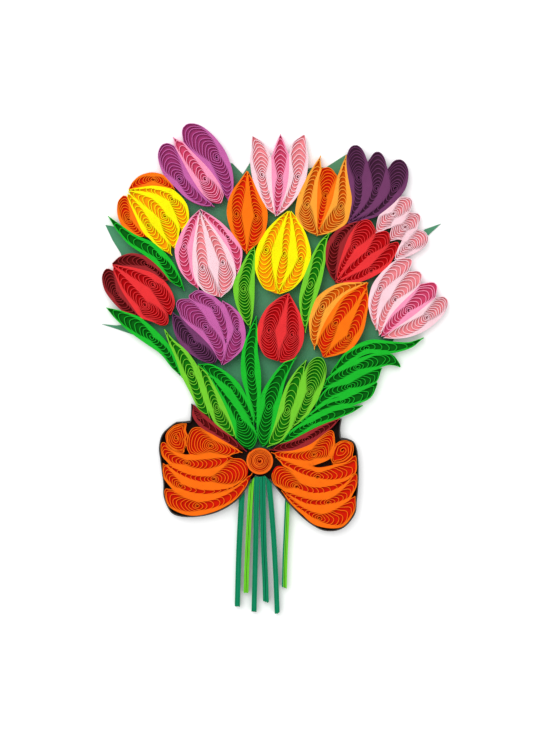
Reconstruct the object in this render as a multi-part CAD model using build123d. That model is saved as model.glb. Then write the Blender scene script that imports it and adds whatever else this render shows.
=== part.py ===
from build123d import *
import math
import os

os.makedirs("parts", exist_ok=True)

# Quilled paper bouquet, lying on its back. Strips of paper stand on edge, are rolled
# into loose coils, pinched to petals and leaves, and are glued on cut paper sheets.
# +Y runs from the stems to the top of the bouquet, +Z out of the paper.

# Driving sizes, mm
BOUQUET_HEIGHT = 118.0      # from the stem ends to the top petal tips
PAPER_STRIP = 3.0           # width of the rolled strips, so the depth of every coil
SHEET_THICKNESS = 0.25      # the two cut backing sheets
STEM_THICKNESS = 1.15       # a stem is several strips glued flat on each other
STEM_FOLD_GAP = 0.16        # opening between the two halves of a folded stem
STEM_FOLD_END = 1.6         # the halves are glued together this far from each end
RIM_STRIP = 0.25            # dark strip that stands round the bow
RIM_LIP = 0.06              # the sheet shows this far outside the dark strip
KNOT_RADIUS = 3.24          # tight round coil at the middle of the bow
EYE_HALF = 0.22             # half the opening that the rolling needle leaves

# Clearances, mm
COIL_GAP = 0.08             # between neighbouring coils
STEM_SEAT = 0.16            # between a stem's end and the bow's edge
NARROWEST = 0.3             # a pinched coil is never thinner than this beside its tip
FLOWER_REACH = 0.95         # petals of one flower that lie nearer than this are pressed together
PASSING_REACH = 0.6         # and so are other neighbours that lie nearer than this

# Shape shares
STATIONS = 8                # cross lines that define one coil's outline
PINCHED_STATIONS = 2        # the stations from the tip that stay as they are pinched
TOUCH_PASSES = 7
CLOSED_SHARE = 0.5          # up to this share of its reach a gap closes whole, beyond it less
SETTLE_PASSES = 20
RIM_PASSES = 12
SEAT_STEPS = 24
CORE_STEPS = 10             # places tried between two stations for the point of a coil's core
COLUMN_SHARE = 0.48         # half-width of the open middle of a coil, of its half-width
LONG_END_SHARE = 0.1017     # of the bouquet's height; a longer end shows two gaps
TWO_GAPS = ((0.82, 0.60), (0.46, 0.22))    # apex and wings, as shares of an end
ONE_GAP = ((0.72, 0.40),)
HOLLOW_SHARE = 0.45         # the inner side of a gap, from its wings to its apex


# The form of a coil's end: how its width falls off from the belly to the tip
def pinched(power):
    return (power, 1.0)


def pressed(power):
    return (power, 0.6)


def rounded(power):
    return (power, 0.5)


# A coil in layout units, x to the right and y down. The spine runs from the near end,
# at the tulip's foot or the knot, to the far end. The belly is where it is widest, as a
# share of the spine, and the core is the point that the paper is rolled round.
def coil(spine, width, belly, core, near, far):
    return {"spine": spine, "width": width, "belly": belly, "core": core, "near": near, "far": far}


# Tulips, from the upper left
TULIPS = {
    "magenta_tulip_sides": [
        coil([(214.5, 207), (203, 202.5), (190, 192.3), (179.6, 178.9), (171.4, 164.4), (164.8, 144)],
             23, 0.72, (179.5, 179), pinched(1.6), rounded(2.5)),
        coil([(227.7, 201), (226.8, 186), (220.3, 168), (203.8, 145.5), (184.5, 126.5)],
             27.2, 0.67, (217.5, 158.5), pinched(2.1), rounded(2.5)),
    ],
    "magenta_tulip_centre": [
        coil([(220, 203.5), (206, 180), (189, 158.5), (173, 137.3)],
             20.5, 0.37, (205, 179.5), rounded(2.5), pinched(1.8)),
    ],
    "yellow_orange_tulip_outer": [
        coil([(175, 190), (165, 182), (152, 179.4), (138, 183), (129, 188.5)],
             13.3, 0.52, (153.5, 180), pinched(2.2), pinched(2.2)),
        coil([(147, 238), (135.5, 229.7), (128, 218.5), (123.7, 207), (124.5, 196)],
             17, 0.53, (128.5, 219.5), pinched(1.5), pressed(2.0)),
    ],
    "yellow_orange_tulip_inner": [
        coil([(181.5, 232), (184, 219.5), (178.5, 205.5), (158.7, 191.5), (128.5, 190)],
             15.5, 0.36, (172.5, 199.5), pinched(2.0), pinched(1.2)),
        coil([(174.5, 249.5), (171.4, 232), (166, 219.5), (148, 202), (128.5, 192.5)],
             17.2, 0.45, (164.5, 216), pinched(2.3), pinched(1.4)),
        coil([(172, 256), (160, 241.5), (149.5, 228), (139, 213), (127.5, 195)],
             16.5, 0.5, (149, 226.5), pinched(1.7), pinched(1.6)),
    ],
    "left_pink_tulip_outer": [
        coil([(198.5, 290), (187, 272), (183.5, 252), (187.5, 232), (199, 210)],
             16.5, 0.47, (184, 247.5), pinched(1.5), pinched(2.0)),
        coil([(237, 277), (238.9, 259), (230.5, 240.5), (216, 223), (201.3, 208.5)],
             12, 0.42, (228, 237.5), pinched(0.95), pinched(1.6)),
    ],
    "left_pink_tulip_inner": [
        coil([(219, 297.5), (207, 282.5), (202.3, 264), (200.3, 238), (199.8, 212.5)],
             20.5, 0.42, (202.5, 267.5), pinched(2.8), pinched(1.2)),
        coil([(221.5, 298), (225.6, 282), (224.3, 264.5), (213.5, 238.5), (201.3, 214)],
             20, 0.4, (222.5, 262), pinched(2.2), pinched(1.2)),
    ],
    "small_orange_tulip": [
        coil([(246, 255), (241, 236), (236.7, 216), (240, 193), (246, 171)],
             20.2, 0.46, (236.5, 214.5), pinched(1.4), pinched(1.6)),
        coil([(247.7, 254), (254.5, 237), (257.5, 218), (253.5, 195), (248.8, 172)],
             20.2, 0.44, (256, 216), pinched(1.8), pinched(1.3)),
    ],
    "top_pink_tulip_sides": [
        coil([(274.3, 217.3), (265.5, 195), (260.8, 168), (259.3, 151), (252.4, 136.3)],
             21, 0.6, (262, 175), pinched(1.4), pinched(2.4)),
        coil([(278.3, 216), (291.8, 195), (297.8, 176), (298.8, 163), (299, 149), (304.5, 135)],
             19.2, 0.67, (298, 176.5), pinched(1.9), pinched(2.8)),
    ],
    "top_pink_tulip_centre": [
        coil([(276, 215.5), (279, 193), (280.4, 170), (280.4, 152), (280.5, 134.5)],
             17.4, 0.58, (280, 177), pinched(1.9), pinched(2.1)),
    ],
    "amber_tulip_sides": [
        coil([(316.3, 237), (308.5, 222), (306, 206), (312, 180), (320.8, 156)],
             21.2, 0.4, (307, 205), pinched(1.8), pinched(1.27)),
        coil([(318.7, 236), (333, 222), (340.5, 207), (342.3, 181), (346.3, 155.5)],
             20.7, 0.42, (341, 207), pinched(2.8), pinched(1.33)),
    ],
    "amber_tulip_centre": [
        coil([(318, 232), (323.2, 208), (326.8, 188), (327, 167.8)],
             17.6, 0.75, (325.5, 197), pinched(1.75), rounded(3.0)),
    ],
    "dark_purple_tulip": [
        coil([(346.5, 223.5), (357.5, 205), (359, 188), (356.5, 166), (355, 145.7)],
             22, 0.74, (359, 178), pinched(1.45), rounded(2.0)),
        coil([(347.5, 223.5), (363.5, 210.5), (374.6, 196), (377.3, 180), (377.3, 152.3)],
             18.2, 0.76, (376.5, 189), pinched(1.6), rounded(2.3)),
        coil([(348.5, 224), (368, 216.3), (385, 205), (395.5, 190), (398.5, 176), (398, 160)],
             19.8, 0.83, (395, 189.5), pinched(1.3), rounded(2.4)),
    ],
    "yellow_tulip": [
        coil([(277, 294.5), (265.5, 277), (265.3, 258), (271, 238), (287.3, 211.5)],
             19.2, 0.42, (266, 250), pinched(3.3), pinched(2.1)),
        coil([(278, 293.5), (281, 277), (284.3, 259), (285.8, 245), (287, 228), (289, 211.3)],
             15, 0.5, (284, 254), pinched(2.6), pinched(1.6)),
        coil([(280, 294.5), (291.5, 281.5), (299.5, 268), (301.5, 252), (299.5, 235), (292, 211.5)],
             17, 0.45, (300.5, 259), pinched(3.3), pinched(2.1)),
    ],
    "right_red_tulip_outer": [
        coil([(334.5, 285), (331.8, 268), (333.5, 253), (339, 237), (347, 227.5), (361, 220.8)],
             16.5, 0.52, (336.5, 244.5), pinched(1.5), pinched(1.25)),
    ],
    "right_red_tulip_inner": [
        coil([(335.5, 281), (343.5, 266), (352.5, 251), (363, 234), (368.3, 220.3)],
             17.8, 0.8, (354.5, 247.5), pinched(1.9), rounded(2.5)),
        coil([(337, 282), (349.5, 269), (362, 258.5), (376, 246.5), (387.5, 232.5)],
             15.2, 0.8, (369, 254), pinched(2.0), rounded(2.5)),
        coil([(337.5, 283.3), (352.5, 278.3), (367, 272.5), (380, 262.5), (391, 251.5), (398, 243)],
             15.5, 0.52, (371.5, 271), pinched(1.0), rounded(3.0)),
    ],
    "pale_pink_bud": [
        coil([(375.5, 233.7), (383, 222.8), (394, 213.5), (403, 206), (411, 199.5)],
             17.5, 0.55, (393.5, 214), pinched(1.8), rounded(3.0)),
        coil([(390, 241.3), (396, 234.5), (405, 228), (413, 221), (418.8, 214.5)],
             15.6, 0.5, (405, 228), pinched(2.3), rounded(2.6)),
        coil([(394, 260), (401, 252.5), (409, 246.7), (417, 241), (427, 235)],
             19.5, 0.66, (409, 246), pinched(1.8), rounded(2.6)),
    ],
    "right_orange_tulip_outer": [
        coil([(314.3, 350), (314, 332), (321.8, 308), (337, 292.3), (366, 282.3)],
             18, 0.5, (322.5, 307), pinched(1.5), pinched(1.2)),
    ],
    "right_orange_tulip_inner": [
        coil([(321.5, 356.5), (326, 341), (335.5, 324), (348, 303), (369, 283.5)],
             19, 0.45, (335.5, 323.5), pinched(2.8), pinched(2.1)),
        coil([(325, 358.3), (337, 349.5), (349.8, 336), (358, 320), (363.3, 303), (367.2, 288)],
             19, 0.48, (348.5, 336), pinched(2.25), pinched(1.33)),
    ],
    "right_pink_tulip_pale": [
        coil([(376, 330.5), (373.7, 308), (379.5, 289.5), (392, 275), (411.5, 260)],
             17.3, 0.55, (380, 288.5), pinched(1.4), rounded(3.0)),
        coil([(378, 335.5), (384, 315), (394, 299), (407, 284.5), (420.7, 273.3)],
             17, 0.72, (395.5, 299.5), pinched(2.3), rounded(3.0)),
        coil([(384.5, 338.8), (402, 332.5), (416, 325.5), (427, 317.5), (436.5, 308.5), (446, 298.5)],
             19.7, 0.68, (426.5, 318.5), pinched(2.25), rounded(2.7)),
    ],
    "right_pink_tulip_hot": [
        coil([(381, 336.5), (393, 322.5), (407.5, 309.5), (421, 298.5), (435.5, 284)],
             18, 0.65, (408.5, 310.5), pinched(2.2), rounded(3.0)),
    ],
    "left_red_tulip_outer": [
        coil([(170.5, 282.3), (157.5, 270.5), (146, 263.7), (131, 260), (112, 262.5)],
             13.6, 0.6, (146, 264.5), pinched(1.2), pinched(2.6)),
        coil([(140, 317.3), (126.5, 307.5), (115, 293.8), (109.2, 281), (107.8, 269)],
             15, 0.66, (116.8, 293.5), pinched(1.5), rounded(2.6)),
    ],
    "left_red_tulip_inner": [
        coil([(170.5, 315.3), (166.7, 301), (154, 285.7), (136.5, 275.8), (112.5, 265.3)],
             20, 0.42, (153.5, 285.5), pinched(3.1), pinched(1.47)),
        coil([(166.5, 325), (158, 315.6), (145.5, 305.3), (133, 293.2), (122.8, 280), (113, 266.5)],
             20, 0.36, (145.5, 305.5), rounded(2.8), pinched(2.0)),
    ],
    "violet_tulip_outer": [
        coil([(227, 343.5), (224.3, 328), (214.5, 308), (202.5, 298.8), (189, 296)],
             16.6, 0.55, (213.5, 308.5), pinched(1.15), pressed(2.2)),
        coil([(220, 365), (219.5, 349), (207, 327.5), (193, 313.5), (177.5, 301.5)],
             20.5, 0.6, (206, 327.5), pinched(1.67), rounded(3.0)),
        coil([(224.3, 365.5), (233.3, 350), (237.3, 331), (232.2, 313), (222.5, 301)],
             16.7, 0.5, (237.5, 330), pinched(2.07), pinched(1.65)),
    ],
    "violet_tulip_inner": [
        coil([(215, 363), (205.2, 353.7), (193, 343.3), (178.7, 327), (173, 312.5)],
             19.5, 0.45, (194, 342), rounded(2.6), pinched(1.8)),
    ],
    "centre_red_tulip": [
        coil([(277.5, 361.5), (269.7, 348), (268.8, 334), (273.3, 315), (287.3, 294)],
             21.9, 0.42, (269, 331.5), pinched(2.9), pinched(2.3)),
        coil([(280, 362), (289.5, 350), (292, 337), (292.5, 315), (289.5, 293.5)],
             22.8, 0.4, (292, 335), pinched(3.4), pinched(1.47)),
    ],
}

# Leaves, from the left round to the fan at the right
LEAVES = {
    "leaf_upper_left": [
        coil([(184.5, 291.3), (170.5, 271), (155, 253), (130, 237.8), (108, 216.5)],
             15.5, 0.45, (158, 255.5), pinched(2.4), pinched(2.0)),
    ],
    "leaf_lower_left": [
        coil([(182, 378.5), (172, 361.5), (166, 350.5), (151.5, 337.8), (134.5, 325.8), (121, 317), (106.5, 308)],
             17, 0.56, (153, 338.5), pinched(1.9), pinched(2.4)),
    ],
    "leaf_light_left": [
        coil([(210, 419), (201, 401.5), (197, 390), (191, 374.5), (179.3, 353), (172, 343.5), (164.5, 329.5)],
             17.5, 0.48, (192, 374.5), pinched(1.8), pinched(1.58)),
    ],
    "leaf_light_inner": [
        coil([(236.5, 439), (224.5, 423.5), (216.5, 408), (208.8, 388), (204.8, 376.5), (198, 365.5)],
             16.1, 0.42, (216.5, 407.5), pinched(1.64), pinched(1.8)),
    ],
    "leaf_round_foot": [
        coil([(248.5, 449), (245.5, 432), (237.2, 415.7), (226.3, 398.4), (216, 384.5), (208, 374.5)],
             20, 0.18, (241, 420.8), rounded(2.5), pinched(1.0)),
    ],
    "leaf_bent": [
        coil([(254.6, 429), (249.4, 413.5), (244, 403.3), (232.5, 387.5), (218, 374.3), (207, 368), (198, 364.3)],
             14.8, 0.56, (233, 389.5), pinched(1.5), pinched(2.0)),
    ],
    "leaf_light_centre": [
        coil([(249.6, 329), (248.3, 320), (245.3, 305), (244, 290.5), (246.9, 270), (250.3, 255), (255, 244.5)],
             21.5, 0.43, (243.5, 290), pinched(1.62), pinched(1.75)),
    ],
    "leaf_light_right": [
        coil([(305.3, 333.3), (305, 320), (305.5, 310), (306.8, 300), (310.8, 284.8), (316.8, 265), (320, 250),
              (324.3, 240), (331, 232.3)],
             19.8, 0.44, (310, 285.5), pinched(1.25), pinched(1.4)),
    ],
    "leaf_upright": [
        coil([(257, 431), (255.4, 410), (254, 400), (252.7, 390), (251, 374), (250.5, 357), (251.2, 340),
              (253.5, 329), (256.3, 316.3)],
             19.8, 0.5, (251.7, 374.5), pinched(0.95), pinched(1.45)),
    ],
    "leaf_wide": [
        coil([(262, 446.3), (264, 437), (266, 425), (269.3, 407), (273, 392), (280.8, 375.5), (288.5, 365),
              (297, 356)],
             19.2, 0.42, (268.7, 407.5), rounded(2.2), pinched(1.9)),
    ],
    "leaf_light_long": [
        coil([(266.8, 447.5), (274.5, 438.5), (281.5, 428.5), (287.3, 411.5), (291.2, 396), (295, 382), (300, 371),
              (306.5, 360.3)],
             18.7, 0.43, (286.8, 411), pinched(2.5), pinched(1.68)),
    ],
    "leaf_light_round_top": [
        coil([(290.8, 428.8), (299, 416), (305, 405.5), (310.2, 392), (316, 372.5), (319.5, 357.5)],
             21.5, 0.72, (309.3, 392), pinched(1.6), rounded(2.3)),
    ],
    "fan_leaf_1": [
        coil([(325.5, 380), (340, 365), (351, 356), (363.8, 348.5), (380.5, 347), (395.2, 347.5), (406.8, 346.2),
              (423.8, 338)],
             14.3, 0.49, (365, 348.5), pinched(1.2), pinched(1.8)),
    ],
    "fan_leaf_2": [
        coil([(321, 390), (330.5, 381.5), (340.5, 375.5), (350.5, 370.5), (360, 366), (371, 361.5), (380.5, 359.8),
              (389.5, 360), (395.5, 362.5), (400.2, 367.5)],
             15.2, 0.62, (358, 367), pinched(2.0), pinched(2.8)),
    ],
    "fan_leaf_3": [
        coil([(313, 411), (322, 400.5), (330.5, 394.3), (340, 390), (350, 386.8), (360.5, 382.7), (371.5, 376.5),
              (382, 368.5)],
             14.2, 0.6, (349.5, 386.7), pinched(1.85), pinched(3.0)),
    ],
    "fan_leaf_4": [
        coil([(286, 435.5), (300, 421.8), (310, 415), (320, 409.5), (330, 405), (340, 402.5), (350, 400.3),
              (360.3, 397.3), (370, 391), (377, 382.5)],
             13, 0.74, (341, 401.5), pinched(1.3), pinched(3.0)),
    ],
    "fan_leaf_5": [
        coil([(279.5, 444.3), (290, 437.5), (300, 430.5), (310, 424.8), (320.5, 420), (330.5, 416.2), (340.5, 413),
              (350.5, 410), (362.8, 405.8)],
             10.9, 0.48, (312, 422.5), pinched(2.5), pinched(3.0)),
    ],
}

# Bow coils
BOW = {
    "bow_tail_left": [
        coil([(247, 452), (230.8, 441.4), (220.8, 434.7), (211.5, 428.3), (202, 422), (197, 415), (193.8, 405)],
             12, 0.74, (198, 420), pinched(1.45), pinched(1.8)),
    ],
    "bow_tail_right": [
        coil([(268.5, 450), (282, 448.2), (293, 444.9), (304.2, 440.3), (314, 434.7), (324, 429), (332, 423.8),
              (340, 418.5)],
             11.6, 0.52, (307, 439), pinched(1.65), pinched(2.2)),
    ],
    "bow_left_top": [
        coil([(184.3, 452), (177.8, 446.8), (175.3, 438.8), (179.2, 431.2), (186.6, 423.8)],
             21.4, 0.46, (175.8, 438.5), (2.3, 0.85), pinched(1.7)),
        coil([(242.5, 453), (228, 449.5), (212, 445.3), (199, 441.5), (187.6, 439)],
             26.5, 0.8, (211, 446), pinched(1.25), rounded(4.5)),
    ],
    "bow_right_top": [
        coil([(271, 452.5), (282, 454.8), (293, 456.8), (304, 457), (314.8, 455), (324.8, 447), (329, 437.5),
              (332, 430.8)],
             22.5, 0.66, (313.8, 455), pinched(1.1), (2.7, 0.85)),
        coil([(333, 464.6), (337.5, 459), (342.3, 451.8), (344, 446), (344, 440.8)],
             20.8, 0.56, (342.4, 451.2), pinched(2.0), rounded(3.4)),
    ],
    "bow_left_loop": [
        coil([(232.5, 457.7), (220, 461.8), (209, 464.5), (198, 465), (186.5, 462.8), (173.6, 457.6), (166.2, 450.8),
              (163, 442.5)],
             15.6, 0.62, (187.5, 463.5), pinched(2.5), (3.2, 0.7)),
        coil([(247.3, 465), (237, 470), (225.5, 475.8), (212, 479.5), (200, 479.2), (190, 476.8), (179.5, 472.3),
              (167, 464.8)],
             22.8, 0.16, (214, 479), rounded(2.6), pinched(1.35)),
        coil([(243, 481), (234, 486), (223.5, 490), (210.5, 492.3), (197, 491), (185, 487.8), (174.5, 482.5),
              (168, 474), (163.3, 463.5)],
             14.8, 0.74, (180, 485.5), pinched(1.2), pinched(1.8)),
        coil([(252.6, 473.3), (247, 481.5), (240, 489.5), (229, 497.7), (217, 502.7), (204, 505.7), (191, 506.2),
              (181, 504), (172.5, 498), (166, 489)],
             19.3, 0.74, (197, 506), pinched(1.55), (2.7, 0.85)),
    ],
    "bow_right_loop": [
        coil([(275.5, 457), (285.3, 463.5), (295.5, 469.2), (307, 474), (318.3, 475.8), (331, 475.5), (343, 471.7),
              (351, 466), (355.5, 456)],
             16.8, 0.58, (318, 477), pinched(1.6), pinched(3.5)),
        coil([(272.3, 473), (280.5, 475.8), (289, 481.3), (298.5, 486), (309, 490), (320, 491), (332, 489.5),
              (343, 484), (354.3, 474)],
             22, 0.12, (296.4, 486.8), rounded(2.4), pinched(1.1)),
        coil([(285, 492), (290.5, 494.6), (300, 499.8), (311, 503), (321, 504), (332, 501.5), (342, 495.8),
              (350, 488), (354.5, 481), (356.2, 473.8)],
             13.6, 0.6, (328.5, 502.5), pinched(1.6), pinched(2.8)),
        coil([(281.5, 490.5), (290, 499.8), (299, 506.8), (309, 513), (319.5, 518.7), (331.5, 520), (342, 515.5),
              (349.5, 507.7), (355, 496.3)],
             20.3, 0.64, (319.5, 518.5), pinched(0.9), pinched(1.9)),
    ],
}
KNOT_CENTRE = (259.9, 461.2)

# Stems, from the end under the bow down to the free end, and whether one is folded double
STEMS = {
    "stem_dark_left": ([(242, 494), (240.5, 520), (239, 550), (238, 580), (237.3, 607.5)], False),
    "stem_light_left": ([(251.4, 484), (249.6, 510), (247.8, 545), (246.7, 570), (246, 593.5)], True),
    "stem_dark_middle": ([(256.9, 478), (256.3, 510), (255.5, 550), (254.8, 580), (254, 612.5)], False),
    "stem_dark_folded": ([(262.7, 478), (263, 510), (264, 550), (265.3, 580), (266, 603.5)], True),
    "stem_dark_right": ([(268.6, 478), (271.5, 510), (273.8, 540), (275.7, 575), (277.3, 615)], False),
    "stem_light_right": ([(287.3, 506), (286.3, 530), (285, 560), (284.3, 589)], True),
}

# Green sheet behind the flowers, with its leaf-like points and a tongue under the bow
GREEN_SHEET = [
    (104.7, 224.6), (118, 227), (134, 237), (124, 222), (121.5, 209), (126, 200), (130.5, 192),
    (135, 184), (144, 178), (154, 176), (164, 180), (171, 187), (182, 187), (176, 166),
    (180, 147), (192, 137), (207, 148), (221, 162), (232.3, 162.8), (242.7, 173.7), (250, 162),
    (256, 156), (264, 158), (271, 166), (281, 160), (290, 166), (297, 158), (303, 156),
    (308, 168), (318, 166), (325.3, 167.4), (336, 160.5), (346.5, 153.8), (354, 156), (364, 170),
    (376, 166), (387, 177), (394, 180), (391, 192), (380, 203), (386, 214), (403, 204),
    (405, 212), (414, 219), (410, 232), (420, 236), (425.5, 229), (441.7, 223.3),
    (428.7, 235.2), (420, 243), (406, 252), (398, 262), (403, 275), (413, 284), (424, 300),
    (431, 311), (420, 322), (396, 333), (392, 346), (384, 360), (370, 372),
    (364, 392), (352, 406), (340, 416), (324, 427), (305, 438), (286, 446), (284, 464),
    (262, 470), (238, 466), (235, 446), (222, 436), (209, 427), (199, 416), (197, 404),
    (190, 375),
    (174, 356), (160, 344), (144, 334), (133, 335), (116, 329), (100.7, 324.1), (116, 325.6),
    (128, 324), (118, 314), (124, 306), (112, 290), (112, 274), (122, 262), (120.4, 253.5),
    (112, 240),
]

# Dark sheet behind the bow. The rims run round each loop, the foot is under the knot,
# and the seam is hidden under the tails.
BOW_RIM_LEFT = [
    (191, 404), (190.8, 412), (190, 421), (185, 422.3), (177, 425), (169, 428.5), (163, 433),
    (160, 440), (158.8, 450), (160.2, 460), (162.2, 472), (163.8, 484), (164.8, 495), (166.8, 506),
    (172, 513.7), (181, 517), (193, 517.5), (206, 515), (218, 511), (230, 505), (240, 497),
    (247, 488.5), (252, 480),
]
BOW_FOOT = [(255, 476), (260, 477), (265, 476)]
BOW_RIM_RIGHT = [
    (270, 479), (277, 488), (285, 498), (294, 508.5), (303, 518.5), (313, 526), (323, 530.8),
    (334, 531), (343, 528), (350, 521.5), (355, 512), (357, 501), (358, 488), (358.5, 475),
    (358.6, 462), (357, 451), (353, 443.5), (347, 439.5), (341, 438), (340.5, 429), (342, 419),
]
BOW_SEAM = [
    (330, 425.5), (315, 434), (300, 441.5), (284, 447), (270, 450), (260, 449), (250, 451),
    (238, 445), (222, 434), (208, 424.5), (199, 415), (195, 406),
]


# Layout geometry
def all_coils():
    groups = {}
    for family in (TULIPS, LEAVES, BOW):
        groups.update(family)
    return groups


def lengths_along(points):
    total = [0.0]
    for start, end in zip(points, points[1:]):
        total.append(total[-1] + math.dist(start, end))
    return total


def slopes(points, total):
    found = []
    for i in range(len(points)):
        before = max(i - 1, 0)
        after = min(i + 1, len(points) - 1)
        parts = []
        for axis in (0, 1):
            if before == i or after == i:
                span = total[after] - total[before]
                parts.append((points[after][axis] - points[before][axis]) / span)
                continue
            behind = total[i] - total[i - 1]
            ahead = total[i + 1] - total[i]
            slope_in = (points[i][axis] - points[i - 1][axis]) / behind
            slope_out = (points[i + 1][axis] - points[i][axis]) / ahead
            parts.append((slope_in * ahead + slope_out * behind) / (behind + ahead))
        found.append(parts)
    return found


# A smooth curve through the spine points, and its direction, at a share of its length
def along(points, share):
    total = lengths_along(points)
    slope = slopes(points, total)
    target = share * total[-1]
    i = 0
    while i < len(points) - 2 and total[i + 1] < target:
        i += 1
    span = total[i + 1] - total[i]
    u = (target - total[i]) / span
    place = []
    heading = []
    for axis in (0, 1):
        a, b = points[i][axis], points[i + 1][axis]
        m, n = slope[i][axis] * span, slope[i + 1][axis] * span
        c = 3 * (b - a) - 2 * m - n
        d = 2 * (a - b) + m + n
        place.append(a + u * (m + u * (c + u * d)))
        heading.append(m + u * (2 * c + 3 * u * d))
    size = math.hypot(*heading)
    return place, [heading[0] / size, heading[1] / size]


def width_share(piece, share):
    belly = piece["belly"]
    if share < belly:
        x = (belly - share) / belly
        power, bend = piece["near"]
    else:
        x = (share - belly) / (1 - belly)
        power, bend = piece["far"]
    return max(1 - x ** power, 0.0) ** bend


# The free outline: near tip, one side, far tip, the other side back
def free_outline(piece):
    left = []
    right = []
    for i in range(1, STATIONS):
        share = (1 - math.cos(math.pi * i / STATIONS)) / 2
        centre, heading = along(piece["spine"], share)
        half = piece["width"] / 2 * width_share(piece, share)
        left.append([centre[0] - heading[1] * half, centre[1] + heading[0] * half])
        right.append([centre[0] + heading[1] * half, centre[1] - heading[0] * half])
    near_tip = list(piece["spine"][0])
    far_tip = list(piece["spine"][-1])
    return [near_tip] + left + [far_tip] + right[::-1]


# Layout units to millimetres, from the knot, so that the layout is as high as the bouquet
def layout_height():
    heights = [point[1] for pieces in all_coils().values() for piece in pieces for point in free_outline(piece)]
    heights += [point[1] for path, _ in STEMS.values() for point in path]
    return max(heights) - min(heights)


LAYOUT_TO_MM = BOUQUET_HEIGHT / layout_height()


def to_mm(point):
    return [(point[0] - KNOT_CENTRE[0]) * LAYOUT_TO_MM, (KNOT_CENTRE[1] - point[1]) * LAYOUT_TO_MM]


def list_to_mm(points):
    return [to_mm(point) for point in points]


# Distance from a point to an outline, positive inside, with the nearest edge
def depth_inside(point, outline):
    x, y = point
    nearest = None
    inside = False
    count = len(outline)
    for i in range(count):
        ax, ay = outline[i]
        bx, by = outline[(i + 1) % count]
        if (ay > y) != (by > y) and x < ax + (y - ay) * (bx - ax) / (by - ay):
            inside = not inside
        ex, ey = bx - ax, by - ay
        length = ex * ex + ey * ey
        u = 0.0 if length == 0 else ((x - ax) * ex + (y - ay) * ey) / length
        u = min(max(u, 0.0), 1.0)
        gap = (ax + u * ex - x) ** 2 + (ay + u * ey - y) ** 2
        if nearest is None or gap < nearest[0]:
            nearest = (gap, i, u, ax + u * ex, ay + u * ey, ex, ey)
    gap, i, u, px, py, ex, ey = nearest
    distance = math.sqrt(gap)
    if distance > 1e-9:
        away = ((px - x) / distance, (py - y) / distance)
    else:
        size = math.hypot(ex, ey)
        away = (ey / size, -ex / size)
    if inside:
        return distance, away, i, u
    return -distance, (-away[0], -away[1]), i, u


def box_of(outline):
    xs = [point[0] for point in outline]
    ys = [point[1] for point in outline]
    return min(xs), min(ys), max(xs), max(ys)


def boxes_meet(one, other, gap):
    apart_x = one[0] > other[2] + gap or other[0] > one[2] + gap
    apart_y = one[1] > other[3] + gap or other[1] > one[3] + gap
    return not (apart_x or apart_y)


# Coils press each other flat: a point that lies in a neighbour moves out, and the
# neighbour's edge gives way by as much. A firm outline, such as the knot, doesn't move.
def press_apart(moving, other, gap, other_is_firm):
    limit = box_of(other)
    count = len(other)
    for point in moving:
        if not boxes_meet((point[0], point[1], point[0], point[1]), limit, gap):
            continue
        depth, away, i, u = depth_inside(point, other)
        push = depth + gap
        if push <= 0:
            continue
        share = 1.0 if other_is_firm else 0.5
        point[0] += away[0] * push * share
        point[1] += away[1] * push * share
        if other_is_firm:
            continue
        for corner, weight in ((i, 1 - u), ((i + 1) % count, u)):
            other[corner][0] -= away[0] * push * share * weight
            other[corner][1] -= away[1] * push * share * weight


def push_out_of_firm(firm, soft, gap):
    limit = box_of(soft)
    count = len(soft)
    for point in firm:
        if not boxes_meet((point[0], point[1], point[0], point[1]), limit, gap):
            continue
        depth, away, i, u = depth_inside(point, soft)
        push = depth + gap
        if push <= 0:
            continue
        for corner in (i, (i + 1) % count):
            soft[corner][0] -= away[0] * push
            soft[corner][1] -= away[1] * push


# Neighbours that almost touch are glued side by side, so their sides spread to meet. The
# pinched ends stay as they are.
def draw_to(moving, other, reach):
    limit = box_of(other)
    for n, point in enumerate(moving):
        from_tip = min(n % STATIONS, -n % STATIONS)
        if from_tip < PINCHED_STATIONS or not boxes_meet((point[0], point[1], point[0], point[1]), limit, reach):
            continue
        depth, away, _, _ = depth_inside(point, other)
        gap = -depth
        if COIL_GAP < gap < reach:
            fade = min((1 - gap / reach) / (1 - CLOSED_SHARE), 1.0)
            pull = (gap - COIL_GAP) / 2 * fade
            point[0] -= away[0] * pull
            point[1] -= away[1] * pull


def draw_together(outlines, bunches):
    for _ in range(TOUCH_PASSES):
        boxes = [box_of(outline) for outline in outlines]
        for i, one in enumerate(outlines):
            for j in range(i + 1, len(outlines)):
                reach = FLOWER_REACH if bunches[i] == bunches[j] else PASSING_REACH
                if boxes_meet(boxes[i], boxes[j], reach):
                    draw_to(one, outlines[j], reach)
                    draw_to(outlines[j], one, reach)


# A coil keeps its paper: the two sides never cross at a station
def keep_open(outline):
    half_count = len(outline) // 2
    for i in range(1, half_count):
        left = outline[i]
        right = outline[-i]
        before = middle_of(outline, i - 1)
        after = middle_of(outline, i + 1)
        run = math.dist(before, after)
        normal = ((after[1] - before[1]) / run, (before[0] - after[0]) / run)
        width = (left[0] - right[0]) * normal[0] + (left[1] - right[1]) * normal[1]
        if width >= NARROWEST:
            continue
        grow = (NARROWEST - width) / 2
        left[0] += normal[0] * grow
        left[1] += normal[1] * grow
        right[0] -= normal[0] * grow
        right[1] -= normal[1] * grow


def middle_of(outline, i):
    left = outline[i]
    right = outline[-i] if i > 0 else outline[0]
    return [(left[0] + right[0]) / 2, (left[1] + right[1]) / 2]


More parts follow.
